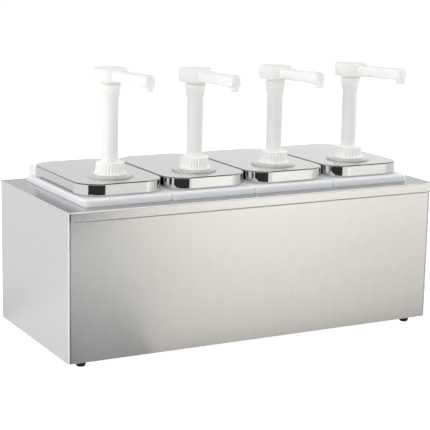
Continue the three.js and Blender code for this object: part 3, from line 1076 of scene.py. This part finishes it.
def glow(name, colour):
    material = bpy.data.materials.new(name)
    material.use_nodes = True
    tree = material.node_tree
    tree.nodes.remove(tree.nodes["Principled BSDF"])
    emission = tree.nodes.new("ShaderNodeEmission")
    emission.inputs["Color"].default_value = (*colour, 1)
    tree.links.new(emission.outputs["Emission"], tree.nodes["Material Output"].inputs["Surface"])
    return material, tree, emission


def graded(tree, axis, start, end, levels):
    """Grey levels by the distance along an axis, from start to end."""
    place = tree.nodes.new("ShaderNodeTexCoord")
    parts = tree.nodes.new("ShaderNodeSeparateXYZ")
    tree.links.new(place.outputs["Object"], parts.inputs["Vector"])
    return stepped(tree, parts.outputs[axis], start, end, levels)


def stepped(tree, value, start, end, levels):
    """Grey levels, given by share of the way, as value goes from start to end."""
    reach = tree.nodes.new("ShaderNodeMapRange")
    reach.inputs["From Min"].default_value = start
    reach.inputs["From Max"].default_value = end
    tree.links.new(value, reach.inputs["Value"])
    shades = tree.nodes.new("ShaderNodeValToRGB")
    stops = shades.color_ramp.elements
    stops[1].position = 1.0
    for position in list(levels)[1:-1]:
        stops.new(position)
    for stop, level in zip(stops, levels.values()):
        stop.color = (level, level, level, 1)
    tree.links.new(reach.outputs["Result"], shades.inputs["Fac"])
    return shades.outputs["Color"]


def strength(tree, emission, value):
    tree.links.new(value, emission.inputs["Strength"])


# The ends of the dark card's foot, how steeply its pale part narrows, and its height, in metres.
CARD_LEFT = (-0.755, -0.41)
CARD_RIGHT = (0.03, -0.687)
CARD_SLANT = 0.16
CARD_HEIGHT = 0.165
# Brightness by share of the way up the card, or of the way out from the station, or across from left to
# right. FRONT_LEAN is how far the front floor's shades lean to the right as they run out.
CARD_SHADES = {0.0: 0.72, 0.54: 0.8, 0.58: 0.05, 1.0: 0.035}
# Levels of the floor shade sheet: painted shade, darkest next to the station.
SHADE_SHEET_SHADES = {0.0: 0.3, 0.15: 0.44, 0.31: 0.56, 0.6: 0.68, 1.0: 0.7}
SHADE_SHEET_ACROSS = {0.0: 0.84, 0.3: 1.15, 0.8: 1.17, 1.0: 1.25}
FRONT_LEAN = 0.55
FRONT_ACROSS = {0.0: 0.74, 0.08: 0.76, 0.2: 0.9, 0.37: 0.96, 0.55: 0.96, 0.7: 0.93, 0.9: 0.86, 1.0: 0.85}
FRONT_SHADES = {0.0: 0.555, 0.06: 0.78, 0.15: 0.92, 0.3: 1.04, 0.45: 1.12, 0.53: 1.27, 0.61: 1.4, 1.0: 1.42}
LEFT_SHADES = {0.0: 0.83, 0.1: 0.92, 0.25: 1.0, 1.0: 1.03}
OTHER_SHADES = {0.0: 0.68, 0.06: 0.73, 0.15: 0.82, 1.0: 0.9}
# The shades run out over this length, in metres.
GRADE_LENGTH = 1.6
CARD_TINT = (0.97, 0.98, 1.0)
COOL_FLOOR = (0.985, 0.985, 1)
WARM_FLOOR = (1, 0.985, 0.955)


def dark_card():
    """A card that stands in front of the station: black, with a pale foot that narrows to the left."""
    material, tree, emission = glow("card_black", CARD_TINT)
    place = tree.nodes.new("ShaderNodeTexCoord")
    height = tree.nodes.new("ShaderNodeVectorMath")
    height.operation = "DOT_PRODUCT"
    height.inputs[1].default_value = (-CARD_SLANT, 0, 1)
    tree.links.new(place.outputs["Object"], height.inputs[0])
    strength(tree, emission, stepped(tree, height.outputs["Value"], 0, CARD_HEIGHT, CARD_SHADES))
    foot_line = [(*CARD_LEFT, 0), (*CARD_RIGHT, 0)]
    head_line = [(*CARD_RIGHT, CARD_HEIGHT), (*CARD_LEFT, CARD_HEIGHT)]
    only_reflected(plane("card", foot_line + head_line, material))


def leaning(tree, lean):
    """How far right a point of the floor is, less so the further it is in front of the station."""
    place = tree.nodes.new("ShaderNodeTexCoord")
    across = tree.nodes.new("ShaderNodeVectorMath")
    across.operation = "DOT_PRODUCT"
    across.inputs[1].default_value = (1, lean, 0)
    tree.links.new(place.outputs["Object"], across.inputs[0])
    return across.outputs["Value"]


def shade_sheet():
    """Glowing grey sheet on the floor between the card and the station, seen only in the steel: painted
    shade, darkest next to the station and lighter towards its right edge.
    """
    material, tree, emission = glow("painted_shade_sheet", CARD_TINT)
    front = plate_low.y * MM
    left, right = (box_left - 5) * MM, (box_left + 122) * MM
    slant = (CARD_RIGHT[0] - right) / (CARD_RIGHT[1] - front)
    # Painted shade: dimmer near the station, where its own shadow falls on the floor.
    out = graded(tree, "Y", front, front - GRADE_LENGTH, SHADE_SHEET_SHADES)
    start = -slant * front
    widths = stepped(tree, leaning(tree, -slant), left + start, right + start, SHADE_SHEET_ACROSS)
    strength(tree, emission, blend_values(tree, out, widths, 1.0, "MULTIPLY"))
    level = 0.002
    corners = [(left, front, level), (*CARD_LEFT, level), (*CARD_RIGHT, level), (right, front, level)]
    only_reflected(plane("mat", corners, material))


def lit_floor(name, axis, edge, out, near, far, shades, tint=COOL_FLOOR, across=None):
    """The lit floor on one side of the station, dimmer where the station shades it."""
    material, tree, emission = glow(f"floor_{name}", tint)
    value = graded(tree, axis, edge, edge + out * GRADE_LENGTH, shades)
    if across:
        start = FRONT_LEAN * edge
        widths = stepped(tree, leaning(tree, FRONT_LEAN), start - 0.25, start + 0.35, across)
        value = blend_values(tree, value, widths, 1.0, "MULTIPLY")
    strength(tree, emission, value)
    corners = [(x, y, 0.001) for x, y in (near[0], near[1], far[1], far[0])]
    only_reflected(plane(f"floor_{name}", corners, material))


def lit_floors():
    left, right = box_left * MM, box_right * MM
    front, back = plate_low.y * MM, plate_high.y * MM
    far = 5.0
    inner = [(left, front), (right, front), (right, back), (left, back)]
    outer = [(left - far, front - far), (right + far, front - far)]
    outer.extend([(right + far, back + far), (left - far, back + far)])
    lit_floor("front", "Y", front, -1, inner[0:2], outer[0:2], FRONT_SHADES, WARM_FLOOR, FRONT_ACROSS)
    lit_floor("right", "X", right, 1, inner[1:3], outer[1:3], OTHER_SHADES)
    lit_floor("back", "Y", back, 1, inner[2:4], outer[2:4], OTHER_SHADES)
    lit_floor("left", "X", left, -1, (inner[3], inner[0]), (outer[3], outer[0]), LEFT_SHADES)


def area_light(name, place, target, side, power):
    """Square soft light that the steel doesn't mirror."""
    data = bpy.data.lights.new(name, "AREA")
    data.shape = "RECTANGLE"
    data.size, data.size_y = side, side
    data.energy = power
    lamp = bpy.data.objects.new(name, data)
    bpy.context.scene.collection.objects.link(lamp)
    lamp.location = place
    lamp.rotation_euler = (Vector(target) - Vector(place)).to_track_quat("-Z", "Y").to_euler()
    lamp.visible_glossy = False


# How bright the room is in front of the station and behind it.
FRONT_GLOW = 0.8
BACK_GLOW = 1.1
# How bright the room is from its left side to its right.
ROOM = {0.0: 0.9, 0.66: 0.9, 0.74: 0.98, 0.84: 1.1, 1.0: 1.1}
# How bright the room is at sines of the height above the horizon.
SKY = {0.0: 0.95, 0.15: 0.95, 0.25: 0.8, 0.36: 0.12, 1.0: 0.1}


def studio():
    """White room, dimmer in front and dark overhead, with soft lights on both sides."""
    world = bpy.data.worlds.new("studio")
    bpy.context.scene.world = world
    world.use_nodes = True
    tree = world.node_tree
    room = tree.nodes["Background"]
    direction = tree.nodes.new("ShaderNodeTexCoord")
    parts = tree.nodes.new("ShaderNodeSeparateXYZ")
    tree.links.new(direction.outputs["Generated"], parts.inputs["Vector"])
    depth = tree.nodes.new("ShaderNodeMapRange")
    depth.inputs["From Min"].default_value = -1
    depth.inputs["From Max"].default_value = 1
    depth.inputs["To Min"].default_value = FRONT_GLOW
    depth.inputs["To Max"].default_value = BACK_GLOW
    tree.links.new(parts.outputs["Y"], depth.inputs["Value"])
    height = stepped(tree, parts.outputs["Z"], 0, 1, SKY)
    width = stepped(tree, parts.outputs["X"], -1, 1, ROOM)
    tree.links.new(blend_values(tree, height, width, 1.0, "MULTIPLY"), room.inputs["Color"])
    tree.links.new(depth.outputs["Result"], room.inputs["Strength"])
    backdrop = tree.nodes.new("ShaderNodeBackground")
    backdrop.inputs["Color"].default_value = (1, 1, 1, 1)
    backdrop.inputs["Strength"].default_value = 1.05
    seen = tree.nodes.new("ShaderNodeLightPath")
    mix = tree.nodes.new("ShaderNodeMixShader")
    tree.links.new(seen.outputs["Is Camera Ray"], mix.inputs["Fac"])
    tree.links.new(room.outputs["Background"], mix.inputs[1])
    tree.links.new(backdrop.outputs["Background"], mix.inputs[2])
    tree.links.new(mix.outputs["Shader"], tree.nodes["World Output"].inputs["Surface"])
    target = (0, 0, 0.2)
    area_light("key", (-3.1, -0.7, 1.2), target, 2.0, 56)
    area_light("right_fill", (3.1, -0.55, 1.2), target, 2.0, 60)
    area_light("front_fill", (-0.4, -2.4, 0.9), target, 1.4, 1.5)
    area_light("overhead", (0, 0, 2.0), target, 1.6, 16)


def camera():
    data = bpy.data.cameras.new("camera")
    data.sensor_width = 36
    data.lens = 117.05
    data.clip_start = 0.05
    obj = bpy.data.objects.new("camera", data)
    bpy.context.scene.collection.objects.link(obj)
    azimuth, elevation, roll = math.radians(-28.392), math.radians(11.727), math.radians(1.13)
    back = Vector((
        math.sin(azimuth) * math.cos(elevation),
        -math.cos(azimuth) * math.cos(elevation),
        math.sin(elevation),
    ))
    right = Vector((0, 0, 1)).cross(back).normalized()
    up = back.cross(right)
    rolled_right = math.cos(roll) * right + math.sin(roll) * up
    rolled_up = -math.sin(roll) * right + math.cos(roll) * up
    turn = Matrix((rolled_right, rolled_up, back)).transposed()
    obj.matrix_world = Matrix.Translation((-0.9393, -1.7225, 0.5675)) @ turn.to_4x4()
    bpy.context.scene.camera = obj


floor()
lit_floors()
shade_sheet()
dark_card()
studio()
camera()
bpy.context.scene.view_settings.view_transform = "Standard"
